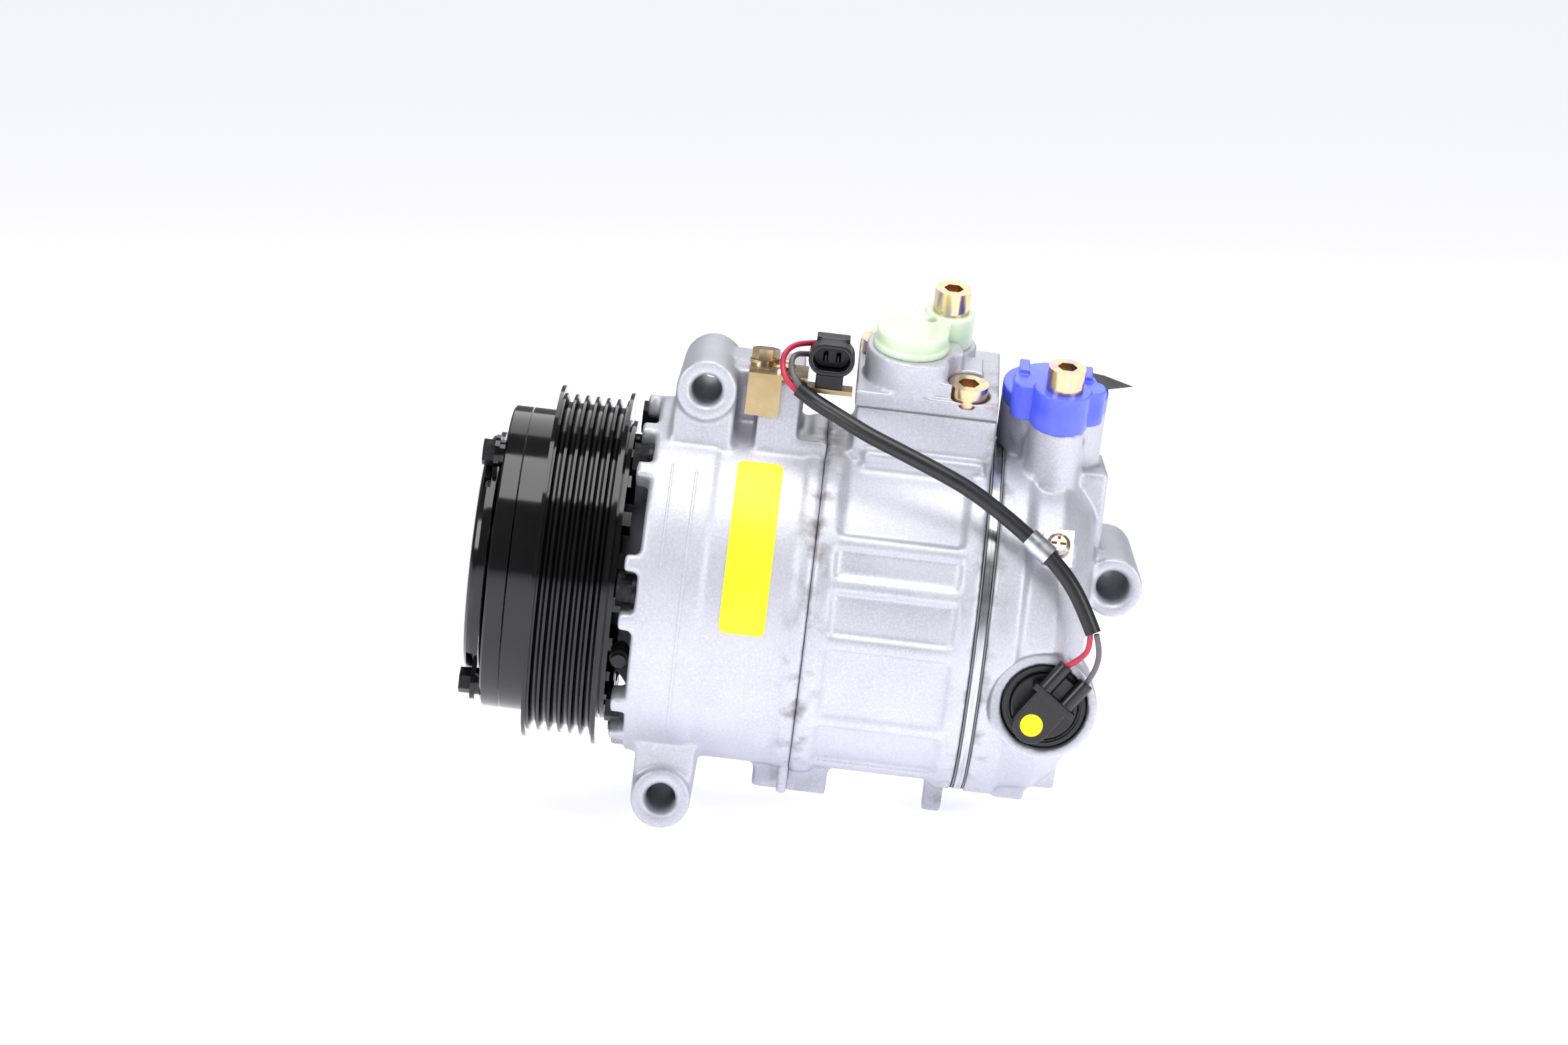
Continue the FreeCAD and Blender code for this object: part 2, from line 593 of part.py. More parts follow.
def through_bolts():
    """Seven long bolts from the front edge into the rear housing, with a washer under each head."""
    bolts, washers = [], []
    for angle in BOLT_ANGLES:
        y, z = around(angle, mm("bolt_circle"))[1:]
        head = hexagon("9.6", "5", along_shaft(mm("notch_floor") - 6.4, y, z))
        shank = rod("bolt_radius", "134", along_shaft(mm("notch_floor") - 1.4, y, z))
        bolts.append(fused(head, shank))
        washer = rod("5.8", "1.4", along_shaft(mm("notch_floor") - 1.4, y, z))
        washers.append(without(washer, rod("bolt_radius", "4", along_shaft(18, y, z))))
    keep(group(*bolts, *washers), "through_bolts")


# ---- ports and their transport caps -----------------------------------------------------------------

def socket_screw(head_radius, head, shank_radius, shank, placement):
    """A hexagon-socket cap screw with its head upwards from the placement."""
    down = placement.multiply(Placement(Vector(0, 0, -shank), Rotation()))
    socket = placement.multiply(Placement(Vector(0, 0, head - 4), Rotation()))
    solid = fused(rod(head_radius, head, placement), rod(shank_radius, shank + 0.5, down))
    return without(solid, hexagon(0.95 * head_radius, "5", socket))


CORNER_SCREWS = [(121.6, -4.6), (92, 23)]


def port_gasket():
    """The gasket between the cylinder block and the port block."""
    under = mm("seam_level")
    return without(block("45", "42", "0.5", leaning(86, -11.5, under)),
                   rod("8", "3", leaning(mm("discharge_station"), mm("discharge_across"), under - 1)),
                   *[rod("3.6", "3", leaning(x, w, under - 1)) for x, w in CORNER_SCREWS])


def discharge_port():
    """Bolted port block with its gasket, its four screws, the check valve, the cap and the cap's screw."""
    seam, flange, top = mm("seam_level"), mm("flange_level"), mm("discharge_level")
    port_x, port_w = mm("discharge_station"), mm("discharge_across")
    lobe_x, lobe_w, lobe_drop = 113.4, 19.0, 4.0
    plinth = block("47", "43", "flange_level - seam_level - 0.5", leaning(85, -12, seam + 0.5))
    tower = [rod("16", "discharge_level - seam_level - 2", leaning(103, port_w, seam + 2)),
             rod("10", f"discharge_level - seam_level - 2 - {lobe_drop}", leaning(lobe_x, lobe_w, seam + 2)),
             block("18", "19", f"discharge_level - seam_level - 2 - {lobe_drop}", leaning(101, 3, seam + 2)),
             block("30", "24", "5.5", leaning(96, -10, flange - 0.5))]
    counterbores = [rod("7.4", "30", leaning(x, w, flange - 3)) for x, w in CORNER_SCREWS]
    clearances = [rod("3.6", "20", leaning(x, w, seam - 2)) for x, w in CORNER_SCREWS]
    keep(without(fused(plinth, *tower), rod("8", "40", leaning(port_x, port_w, seam - 5)),
                 rod("4", "16", leaning(lobe_x, lobe_w, top - 14)),
                 rod("8.5", "6", leaning(lobe_x, lobe_w, top - lobe_drop)), *counterbores, *clearances),
         "discharge_port_block")
    corner = [socket_screw(6.6, 7, 3.5, flange - seam - 3.2, leaning(x, w, flange - 3))
              for x, w in CORNER_SCREWS]
    keep(rod("6.5", "3", leaning(port_x, port_w, seam - 12 + mm("running_fit"))), "check_valve_poppet")

    skirt = [rod("11.8", "6.6", leaning(port_x, port_w, top)),
             rod("12.6", "2.2", leaning(port_x, port_w - 0.4, top)),
             rod("8.2", "11.6", leaning(lobe_x, lobe_w, top - lobe_drop)),
             block("12", "11", "6.6", leaning(101.6, 9, top))]
    tube_end = rod("7.6", "5", leaning(port_x, port_w, top - 5))
    pin_hole = rod("1.7", "4", leaning(107.2, 12, top + 4))
    screw_way = rod("4.2", "18", leaning(lobe_x, lobe_w, top - 6))
    keep(without(fused(*skirt, tube_end), screw_way, pin_hole), "discharge_cap")
    suction_screw = leaning(mm("suction_station") + 1.7, mm("suction_across") - 19, mm("suction_level") + 13)
    long_screws = [socket_screw(6, 8, 4, 21, leaning(lobe_x, lobe_w, top + 7.6)),
                   socket_screw(6.15, 8, 3, 22, suction_screw)]
    keep(group(*corner, *long_screws), "socket_screws")


def suction_cap():
    """Lobed cap on the suction tower with two upright ears, and the flat tab behind it."""
    level, station, across = mm("suction_level"), mm("suction_station"), mm("suction_across")
    disc = rod("17.6", "5", leaning(station, across, level))
    lobes = [rod("14", "6.5", leaning(station, across + 1, level)),
             rod("9.4", "13", leaning(station + 1.3, across - 19, level)),
             rod("5.6", "12", leaning(station - 9.4, across - 13.5, level)),
             rod("5.6", "12", leaning(station + 10.2, across - 13.2, level)),
             block("20", "8", "12", leaning(station - 9, across - 17, level))]
    ears = [block("3.2", "9", "8.5", leaning(x, across - 9, level + 5)) for x in (station - 13, station + 8)]
    eyes = [rod("1.7", "8", leaning(x, across - 4.5, level + 10.8).multiply(
        Placement(Vector(), Rotation(Y_AXIS, 90)))) for x in (station - 15, station + 6)]
    plug = rod("7.6", "5", leaning(station, across, level - 5))
    screw_way = rod("3.1", "20", leaning(station + 1.7, across - 19, level - 3))
    keep(without(fused(disc, *lobes, *ears, plug), *eyes, screw_way), "suction_cap")
    keep(block("8", "14", "1.6", leaning(168.9, 13, level + 4)), "transport_tab")


# ---- control valve and harness ----------------------------------------------------------------------

def control_valve():
    """Displacement control valve in its pocket: cartridge, plunger, sealing rings and black cap."""
    station, height, face = mm("valve_station"), mm("valve_height"), mm("valve_face")
    towards_back = Rotation(X_AXIS, -90)

    def at(y):
        return Placement(Vector(station, y, height), towards_back)
    cartridge = fused(rod("8.5", "26", at(-44.8)), rod("6.8", "16", at(-19)))
    grooves = [without(rod("8.8", "1.6", at(y)), rod("7.4", "1.8", at(y))) for y in (-40, -26)]
    keep(without(cartridge, *grooves, rod("3.2", "34", at(-40)), rod("5", "4", at(-7))),
         "control_valve_body")
    keep(fused(rod("3.15", "30", at(-38)), rod("4.8", "2.4", at(-6.6))), "control_valve_plunger")
    o_rings = [without(rod("8.8", "1.6", at(y)), rod("7.4", "1.8", at(y))) for y in (-40, -26)]
    keep(group(shaft_seal(), *o_rings), "rubber_seals")
    keep(fused(rod("cap_radius", "5.6", at(face)), rod("cap_radius - 3", "1.2", at(face - 1))),
         "control_valve_cap")

    seat = Placement(Vector(station, face - 1, height), Rotation(Y_AXIS, -55))
    hood = block("10.4", "7.5", "12.4", seat, (-6.4, -7.5, -6.2))
    nose = rod("6.2", "7.5", seat.multiply(Placement(Vector(-6.4, -7.5, 0), towards_back)))
    flange = block("2.2", "8.4", "16.4", seat, (3.2, -8.4, -8.2))
    tail = block("9", "4", "13", seat, (3.2, -4, -6.5))
    barrels = [rod("2.6", "11", seat.multiply(Placement(Vector(4.6, -5.1, side), Rotation(Y_AXIS, 90))))
               for side in (-4.4, 4.4)]
    keep(fused(hood, nose, flange, tail, *barrels), "valve_plug")


def clamp_screw():
    """Pan-head screw with a cross recess that holds the clamp's ear."""
    head = about_shaft(56, 156, 61.2)
    pan = fused(rod("3.9", "1.6", head),
                cone("3.9", "2.6", "0.9", head.multiply(Placement(Vector(0, 0, 1.6), Rotation()))))
    cross = [block("5", "1", "2", head, (-2.5, -0.5, 1.2)), block("1", "5", "2", head, (-0.5, -2.5, 1.2))]
    return without(fused(pan, rod("1.8", "9", about_shaft(56, 156, 52.4))), *cross)


def connector_bracket():
    """Zinc-plated sheet bracket on the front housing: flap, top plate and the stepped-down arm."""
    top = 75.0
    flap = block("11", "1.5", "14", corner=(49.6, -32.6, top - 12.5))
    plate = block("19.4", "30", "1.5", corner=(49.6, -32.6, top))
    riser = block("1.5", "14", "4.5", corner=(67.5, -31, top - 3))
    arm = block("16.5", "14", "1.5", corner=(67.5, -31, top - 3))
    spots = ((60.2, -24), (60.7, -10), (54.3, -7))
    keep(without(fused(flap, plate, riser, arm),
                 *[rod("2.5", "6", Placement(Vector(x, y, top - 2), Rotation())) for x, y in spots]),
         "connector_bracket")
    screws = []
    for x, y in spots[:2]:
        dome = without(ball("5.2", Placement(Vector(x, y, top - 1.2), Rotation())),
                       block("12", "12", "12", corner=(x - 6, y - 6, top + 1.5 - 12)))
        screws.append(fused(dome, rod("2.5", "11", Placement(Vector(x, y, top - 9), Rotation()))))
    hexed = Placement(Vector(*spots[2], top + 1.5), Rotation())
    hexed_bolt = fused(rod("5.2", "1.2", hexed), hexagon("8", "5", hexed),
                       rod("2.5", "11", Placement(Vector(*spots[2], top - 9), Rotation())))
    keep(group(*screws, hexed_bolt, clamp_screw()), "small_screws")


def harness_connector():
    """Oval two-pin connector on the arm of the bracket, with its two pins and the boot behind it."""
    base, foot = 78.2, 73.5
    shell = fused(block("6", "17", "10.4", corner=(73, -33, base)),
                  *[rod("5.2", "17", Placement(Vector(x, -33, base + 5.2), Rotation(X_AXIS, -90)))
                    for x in (73.6, 78.4)],
                  block("9", "14", "5.4", corner=(71.5, -31, foot)))
    mouth = fused(block("5", "10", "7.2", corner=(73.5, -33.5, base + 1.6)),
                  *[rod("3.6", "10", Placement(Vector(x, -33.5, base + 5.2), Rotation(X_AXIS, -90)))
                    for x in (73.6, 78.4)])
    pins = [block("0.8", "5.2", "2.4", corner=(x, -28.4, base + 4)) for x in (73.6, 77.8)]
    boot = block("11", "11", "10", corner=(70.5, -19, base + 1))
    keep(fused(without(fused(shell, boot), mouth), *pins), "harness_connector")


SLEEVE_ROUTE = [(66.3, -35.6, 73.4), (70.4, -36.4, 70.8), (75.4, -38.6, 68.6), (82, -42, 66),
                (90.5, -45.5, 62.4), (100, -48, 59.2), (112.5, -50.8, 54.8), (125, -52.6, 49.9),
                (137.5, -54.2, 42.6), (146, -55.6, 36.8), (153.4, -57.2, 31.6), (160.2, -59, 25.2),
                (165.8, -60.6, 17.4), (170.2, -62, 9)]
RED_TOP_ROUTE = [(65.9, -35.6, 72.5), (62.4, -35.2, 75), (60.2, -32.6, 79.2), (60.2, -27.2, 82.8),
                 (62.6, -21, 85.2), (66.6, -16.4, 86), (70.8, -13, 86)]
GREY_TOP_ROUTE = [(67, -35.6, 74.1), (64.4, -35, 76.6), (63, -31.8, 80), (63.2, -26, 82.2),
                  (64.8, -20, 82.6), (67.2, -15.8, 82.3), (70.8, -13, 82.2)]
RED_LOW_ROUTE = [(169.2, -62, 8.8), (169.6, -61.7, 5.2), (168.9, -60.2, 1.8), (166.4, -57.9, -1.5),
                 (163.1, -56.6, -4)]
GREY_LOW_ROUTE = [(171.25, -62, 8.8), (172.5, -61.6, 5.2), (173.2, -60.4, 1), (172.5, -58.3, -4.4),
                  (170.3, -56.6, -9)]


def tube(route, radius):
    """A round cord along straight runs and tangent arcs, with its arcs and volume printed."""
    points = [Vector(*point) for point in route]
    edges, here, length, radii = [], points[0], 0.0, []
    for before, corner, after in zip(points, points[1:], points[2:]):
        back, on = (before - corner), (after - corner)
        run = min(back.Length, on.Length)
        back.normalize()
        on.normalize()
        turn = math.pi - back.getAngle(on)
        reach = 0.45 * run
        bend = reach / math.tan(turn / 2)
        start, end = corner + back * reach, corner + on * reach
        middle_way = back + on
        middle_way.normalize()
        top = corner + middle_way * (bend / math.cos(turn / 2) - bend)
        edges += [Part.LineSegment(here, start).toShape(), Part.Arc(start, top, end).toShape()]
        length += (start - here).Length + bend * turn
        radii.append(round(bend, 1))
        here = end
    edges.append(Part.LineSegment(here, points[-1]).toShape())
    length += (points[-1] - here).Length
    path = Part.Wire(edges)
    section = Part.Wire(Part.Circle(points[0], points[1] - points[0], radius).toShape())
    solid = path.makePipeShell([section], True, False)
    print("cord: radii", radii, "length", round(length, 1), "volume ratio",
          round(solid.Volume / (math.pi * radius ** 2 * length), 4))
    return solid


def cord(label, radius, *routes):
    """A cord's visible stretches as a Part feature, because their paths are runs and arcs in space."""
    thing = doc.addObject("Part::Feature", "Cord")
    solids = [tube(route, radius) for route in routes]
    thing.Shape = solids[0] if len(solids) == 1 else Part.makeCompound(solids)
    keep(thing, label)


def clamp():
    """Steel clip around the sleeve with its ear on the rear housing, and the pan-head screw."""
    before, after = Vector(*SLEEVE_ROUTE[9]), Vector(*SLEEVE_ROUTE[10])
    way = after - before
    centre = before + way * 0.5
    start = facing(way, centre - way.normalize() * 4.5)
    band = without(rod("sleeve_radius + 0.9", "9", start), rod("sleeve_radius", "10", start))
    ear = block("10", "13", "1.2", about_shaft(56, 151, 60), (0, -7, 0))
    keep(without(fused(band, ear), rod("sleeve_radius", "14", start.multiply(
        Placement(Vector(0, 0, -2), Rotation()))), rod("1.8", "6", about_shaft(56, 156, 58))),
        "cable_clamp")


rotor_pulley()
pulley_bearing()
field_coil()
armature()
clutch_hub()
shaft_parts()
swash_parts()
for number, angle in enumerate(PISTON_ANGLES, 1):
    piston(number, angle)
    shoe_pair(number, angle)
front_housing()
cylinder_block()
plate_stack()
rear_housing()
through_bolts()
discharge_port()
suction_cap()
control_valve()
connector_bracket()
harness_connector()
cord("harness_sleeve", mm("sleeve_radius"), SLEEVE_ROUTE)
cord("red_wire", mm("wire_radius"), RED_TOP_ROUTE, RED_LOW_ROUTE)
cord("grey_wire", mm("wire_radius"), GREY_TOP_ROUTE, GREY_LOW_ROUTE)
clamp()

doc.recompute()
failed = [f"{item.Name} ({item.Label})" for item in doc.Objects if {"Invalid", "Error"} & set(item.State)]
broken = [piece.Label for piece in pieces if piece.Shape.isNull() or not piece.Shape.isValid()]
if failed or broken:
    raise RuntimeError(f"failed: {failed}; broken: {broken}")
os.makedirs("parts", exist_ok=True)
for piece in pieces:
    piece.Shape.exportStep(f"parts/{piece.Label}.step")
print(len(pieces), "pieces")
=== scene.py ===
"""A seven-cylinder car air-conditioning compressor with a belt clutch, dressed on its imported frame."""
import math
import bmesh
import bpy
from mathutils import Matrix, Vector


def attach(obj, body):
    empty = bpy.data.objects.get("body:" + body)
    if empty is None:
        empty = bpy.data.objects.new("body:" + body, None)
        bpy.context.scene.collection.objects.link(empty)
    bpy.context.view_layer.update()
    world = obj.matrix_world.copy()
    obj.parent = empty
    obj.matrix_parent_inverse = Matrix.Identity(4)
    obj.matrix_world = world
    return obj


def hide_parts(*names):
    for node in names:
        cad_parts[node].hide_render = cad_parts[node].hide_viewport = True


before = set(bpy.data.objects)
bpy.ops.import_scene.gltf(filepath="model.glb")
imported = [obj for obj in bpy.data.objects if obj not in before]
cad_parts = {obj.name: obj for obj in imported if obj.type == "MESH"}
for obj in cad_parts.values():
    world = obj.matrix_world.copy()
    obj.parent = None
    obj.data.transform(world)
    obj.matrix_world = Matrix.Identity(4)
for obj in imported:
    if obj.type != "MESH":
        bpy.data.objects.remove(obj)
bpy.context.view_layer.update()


# ---- camera -------------------------------------------------------------------------------------------
# A long portrait lens a metre and a half in front of the compressor, ten degrees above its shaft. The
# compressor stands on its lower lug and its foot, so its shaft drops a little towards the rear.

CAMERA_DROP = math.radians(10)
BODY_ROLL = math.radians(6.7)
CAMERA_DISTANCE = 1.52

forward = Vector((0, math.cos(CAMERA_DROP), -math.sin(CAMERA_DROP)))
level_up = Vector((0, math.sin(CAMERA_DROP), math.cos(CAMERA_DROP)))
picture_right = Vector((math.cos(BODY_ROLL), 0, 0)) + level_up * math.sin(BODY_ROLL)
picture_up = level_up * math.cos(BODY_ROLL) - Vector((math.sin(BODY_ROLL), 0, 0))
aim = Vector((0.0667, 0, 0)) + level_up * 0.0221

camera_data = bpy.data.cameras.new("studio_camera")
camera_data.sensor_width = 36
camera_data.lens = 103.5
camera_data.clip_end = 20
camera = bpy.data.objects.new("studio_camera", camera_data)
turn = Matrix((picture_right, picture_up, -forward)).transposed()
camera.matrix_world = Matrix.Translation(aim - forward * CAMERA_DISTANCE) @ turn.to_4x4()
bpy.context.scene.collection.objects.link(camera)
bpy.context.scene.camera = camera


# ---- harness: black sleeve and its two wires ----------------------------------------------------------
# Soft PVC tubing from the connector bracket down to the control valve, held by one clip on the way. It
# has a satin sheen that scuffs lighter, so its roughness wanders along it.

def linear(colour):
    """An sRGB hex colour as the linear values that a shader takes."""
    parts = [int(colour[k:k + 2], 16) / 255 for k in (1, 3, 5)]
    return (*[c / 12.92 if c <= 0.04045 else ((c + 0.055) / 1.055) ** 2.4 for c in parts], 1)


def add_node(finish, kind, links=None, **settings):
    """A node in a material or a world, with its settings, and a value or an output in each socket."""
    node = finish.node_tree.nodes.new(kind)
    for name, value in settings.items():
        setattr(node, name, value)
    for socket, value in (links or {}).items():
        if isinstance(value, bpy.types.NodeSocket):
            finish.node_tree.links.new(value, node.inputs[socket])
        else:
            node.inputs[socket].default_value = value
    return node


def new_finish(name, **sockets):
    """An empty material, its shader and its Object coordinates, with the shader's plain sockets set."""
    finish = bpy.data.materials.new(name)
    finish.use_nodes = True
    shader = finish.node_tree.nodes["Principled BSDF"]
    for socket, value in sockets.items():
        shader.inputs[socket.replace("_", " ")].default_value = value
    place = add_node(finish, "ShaderNodeTexCoord").outputs["Object"]
    return finish, shader, place


def join(finish, output, shader, socket):
    """Leads a node's output into one of the shader's sockets."""
    finish.node_tree.links.new(output, shader.inputs[socket])


def grain(finish, place, size_mm, detail=3.0, stretch=(1, 1, 1)):
    """Noise whose patches are that many millimetres across."""
    turned = add_node(finish, "ShaderNodeMapping", {"Vector": place, "Scale": stretch})
    return add_node(finish, "ShaderNodeTexNoise", {"Vector": turned.outputs["Vector"],
                    "Scale": 1000 / size_mm, "Detail": detail}).outputs["Fac"]


def spread(finish, value, low, high, start=0.0, end=1.0):
    """A value from low to high made to run from start to end."""
    return add_node(finish, "ShaderNodeMapRange", {"Value": value, "From Min": low, "From Max": high,
                    "To Min": start, "To Max": end}).outputs["Result"]


def tinted(finish, amount, first, second):
    """A colour between two, by amount."""
    return add_node(finish, "ShaderNodeMix", {"Factor": amount, 6: first, 7: second},
                    data_type="RGBA").outputs[2]


def bumped(finish, shader, height, depth_mm):
    """Raises the surface by that many millimetres where the height is 1."""
    bump = add_node(finish, "ShaderNodeBump", {"Height": height, "Strength": 1.0,
                    "Distance": depth_mm / 1000})
    join(finish, bump.outputs["Normal"], shader, "Normal")


def moulded(name, colour, roughness, texture_mm, depth_mm, **sockets):
    """Moulded plastic or rubber: an even colour, a fine mould texture and a wandering sheen."""
    finish, shader, place = new_finish(name, **sockets)
    patches = grain(finish, place, 9)
    join(finish, tinted(finish, spread(finish, patches, 0.3, 0.7), linear(colour),
                        [c * 1.25 for c in linear(colour)[:3]] + [1]), shader, "Base Color")
    join(finish, spread(finish, patches, 0.3, 0.7, roughness - 0.05, roughness + 0.08), shader, "Roughness")
    bumped(finish, shader, grain(finish, place, texture_mm), depth_mm)
    return finish


def dress(piece, finish):
    """Gives a piece one material."""
    piece.data.materials.clear()
    piece.data.materials.append(finish)
    return piece


def loom_line(name, route, radius, finish, node):
    """A smooth round line through the space along a route in millimetres."""
    curve = bpy.data.curves.new(name, "CURVE")
    curve.dimensions = "3D"
    spline = curve.splines.new("NURBS")
    spline.points.add(len(route) - 1)
    for point, (x, y, z) in zip(spline.points, route):
        point.co = (x / 1000, y / 1000, z / 1000, 1)
    spline.order_u = 3
    spline.use_endpoint_u = True
    curve.resolution_u = 12
    curve.bevel_depth = radius / 1000
    curve.bevel_resolution = 6
    curve.use_fill_caps = True
    piece = bpy.data.objects.new(name, curve)
    bpy.context.scene.collection.objects.link(piece)
    dress(piece, finish)
    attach(piece, "housing")
    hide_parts(node)
    return piece


SLEEVE_ROUTE = [(66.3, -35.6, 73.4), (70.4, -36.4, 70.8), (75.4, -38.6, 68.6), (82, -42, 66),
                (90.5, -45.5, 62.4), (100, -48, 59.2), (112.5, -50.8, 54.8), (125, -52.6, 49.9),
                (137.5, -54.2, 42.6), (146, -55.6, 36.8), (153.4, -57.2, 31.6), (160.2, -59, 25.2),
                (165.8, -60.6, 17.4), (170.2, -62, 9)]
RED_TOP_ROUTE = [(65.9, -35.6, 72.5), (62.4, -35.2, 75), (60.2, -32.6, 79.2), (60.2, -27.2, 82.8),
                 (62.6, -21, 85.2), (66.6, -16.4, 86), (70.8, -13, 86)]
GREY_TOP_ROUTE = [(67, -35.6, 74.1), (64.4, -35, 76.6), (63, -31.8, 80), (63.2, -26, 82.2),
                  (64.8, -20, 82.6), (67.2, -15.8, 82.3), (70.8, -13, 82.2)]
RED_LOW_ROUTE = [(169.2, -62, 8.8), (169.6, -61.7, 5.2), (168.9, -60.2, 1.8), (166.4, -57.9, -1.5),
                 (163.1, -56.6, -4)]
GREY_LOW_ROUTE = [(171.25, -62, 8.8), (172.5, -61.6, 5.2), (173.2, -60.4, 1), (172.5, -58.3, -4.4),
                  (170.3, -56.6, -9)]
SLEEVE_RADIUS, WIRE_RADIUS = 2.65, 0.95

black_sleeve = moulded("black_pvc_sleeve", "#17171a", 0.36, 0.6, 0.02, IOR=1.5)
red_insulation = moulded("red_wire_insulation", "#a82440", 0.34, 0.5, 0.01, IOR=1.5)
grey_insulation = moulded("grey_wire_insulation", "#5a565c", 0.4, 0.5, 0.01, IOR=1.5)

sleeve = loom_line("loom_sleeve", SLEEVE_ROUTE, SLEEVE_RADIUS, black_sleeve, "harness_sleeve")
for name, route, finish, colour in (("loom_red_top", RED_TOP_ROUTE, red_insulation, "red"),
                                    ("loom_red_low", RED_LOW_ROUTE, red_insulation, "red"),
                                    ("loom_grey_top", GREY_TOP_ROUTE, grey_insulation, "grey"),
                                    ("loom_grey_low", GREY_LOW_ROUTE, grey_insulation, "grey")):
    wire = loom_line(name, route, WIRE_RADIUS, finish, colour + "_wire")


# ---- studio: floor, backdrop light and soft boxes -----------------------------------------------------
# White acrylic floor that the lug and the foot stand on, under a bright overcast of white cloth. It
# gives back a faint, blurred reflection.

FLOOR_TILT = math.radians(5.9)
LUG_FOOT = Vector((0.0365, 0, -0.069))
LUG_RADIUS = 0.010
FLOOR_GAP = 0.0002
CLOTH_LIGHT, CLOTH_REFLECTED, CLOTH_SEEN = 0.5, 0.24, 1.0

floor_up = Vector((-math.sin(FLOOR_TILT), 0, math.cos(FLOOR_TILT)))
floor_spot = LUG_FOOT - floor_up * (LUG_RADIUS + FLOOR_GAP)
shape = bmesh.new()
bmesh.ops.create_grid(shape, x_segments=1, y_segments=1, size=6)
bmesh.ops.transform(shape, verts=shape.verts, matrix=Matrix.Translation(floor_spot)
                    @ Matrix.Rotation(-FLOOR_TILT, 4, "Y"))
floor_mesh = bpy.data.meshes.new("studio_floor")
shape.to_mesh(floor_mesh)
shape.free()
floor = bpy.data.objects.new("studio_floor", floor_mesh)
bpy.context.scene.collection.objects.link(floor)
acrylic, acrylic_shader, place = new_finish("white_acrylic", Roughness=0.2, IOR=1.25,
                                            Emission_Color=linear("#f4f4ff"), Emission_Strength=0.6)
join(acrylic, tinted(acrylic, grain(acrylic, place, 400), linear("#ffffff"), linear("#fbfbff")),
     acrylic_shader, "Base Color")
dress(floor, acrylic)

world = bpy.data.worlds.new("studio_cloth")
world.use_nodes = True
sky = world.node_tree.nodes["Background"]
ray = add_node(world, "ShaderNodeLightPath")
dimmed = add_node(world, "ShaderNodeMix", {"Factor": ray.outputs["Is Glossy Ray"], 2: CLOTH_LIGHT,
                  3: CLOTH_REFLECTED})
brightness = add_node(world, "ShaderNodeMix", {"Factor": ray.outputs["Is Camera Ray"],
                      2: dimmed.outputs[0], 3: CLOTH_SEEN})
world.node_tree.links.new(brightness.outputs[0], sky.inputs["Strength"])
sky.inputs["Color"].default_value = linear("#fbfbff")
bpy.context.scene.world = world
bpy.context.scene.view_settings.view_transform = "Standard"

for name, spot, size, power in (("top_box", (0.05, -0.35, 1.1), 0.8, 10),
                                ("left_box", (-0.9, -0.9, 0.55), 0.55, 7),
                                ("right_box", (1.0, -0.8, 0.5), 0.6, 6),
                                ("back_box", (0.1, 0.9, 0.9), 0.9, 4)):
    lamp = bpy.data.lights.new(name, "AREA")
    lamp.size = size
    lamp.energy = power
    holder = bpy.data.objects.new(name, lamp)
    holder.location = spot
    holder.rotation_euler = (Vector((0.08, 0, 0)) - Vector(spot)).to_track_quat("-Z", "Y").to_euler()
    bpy.context.scene.collection.objects.link(holder)


# ---- the three castings -------------------------------------------------------------------------------
# Pressure die-cast aluminium, shot-blasted: a bright grey with a fine sparkle. Every edge has a cast
# radius of about a millimetre, and a painted shade, broken into patches, darkens it near the seams.

SEAMS_MM = (77.7, 134.5)
CAST_ROUNDS = 4

cast_aluminium, shader, place = new_finish("die_cast_aluminium", Metallic=0.62)
# Painted shade along the two seams: a band that is full within a millimetre of each seam and fades out at
# nine millimetres, broken up by noise, darkens the colour towards #6f6a62.
apart = add_node(cast_aluminium, "ShaderNodeSeparateXYZ", {"Vector": place}).outputs["X"]
near = None
for seam in SEAMS_MM:
    off = add_node(cast_aluminium, "ShaderNodeMath", {0: apart, 1: seam / 1000}, operation="SUBTRACT")
    gap = add_node(cast_aluminium, "ShaderNodeMath", {0: off.outputs[0]}, operation="ABSOLUTE").outputs[0]
    edge = spread(cast_aluminium, gap, 0.001, 0.009, 1.0, 0.0)
    near = edge if near is None else add_node(cast_aluminium, "ShaderNodeMath", {0: near, 1: edge},
                                              operation="MAXIMUM").outputs[0]
shade_breakup = spread(cast_aluminium, grain(cast_aluminium, place, 7, 6), 0.5, 0.68)
seam_shade = add_node(cast_aluminium, "ShaderNodeMath", {0: near, 1: shade_breakup}, operation="MULTIPLY").outputs[0]
blast = grain(cast_aluminium, place, 0.7, 4)
flow = grain(cast_aluminium, place, 26, 5)
metal = tinted(cast_aluminium, spread(cast_aluminium, flow, 0.3, 0.7), linear("#b3b3bc"), linear("#c2c2ca"))
speckled = tinted(cast_aluminium, spread(cast_aluminium, blast, 0.4, 0.7, 0.0, 0.4), metal,
                  linear("#dadae4"))
# The painted seam shade is mixed into the base colour here.
join(cast_aluminium, tinted(cast_aluminium, spread(cast_aluminium, seam_shade, 0, 1, 0, 0.75), speckled,
                            linear("#6f6a62")), shader, "Base Color")
join(cast_aluminium, spread(cast_aluminium, flow, 0.3, 0.7, 0.46, 0.55), shader, "Roughness")
bumped(cast_aluminium, shader, blast, 0.045)


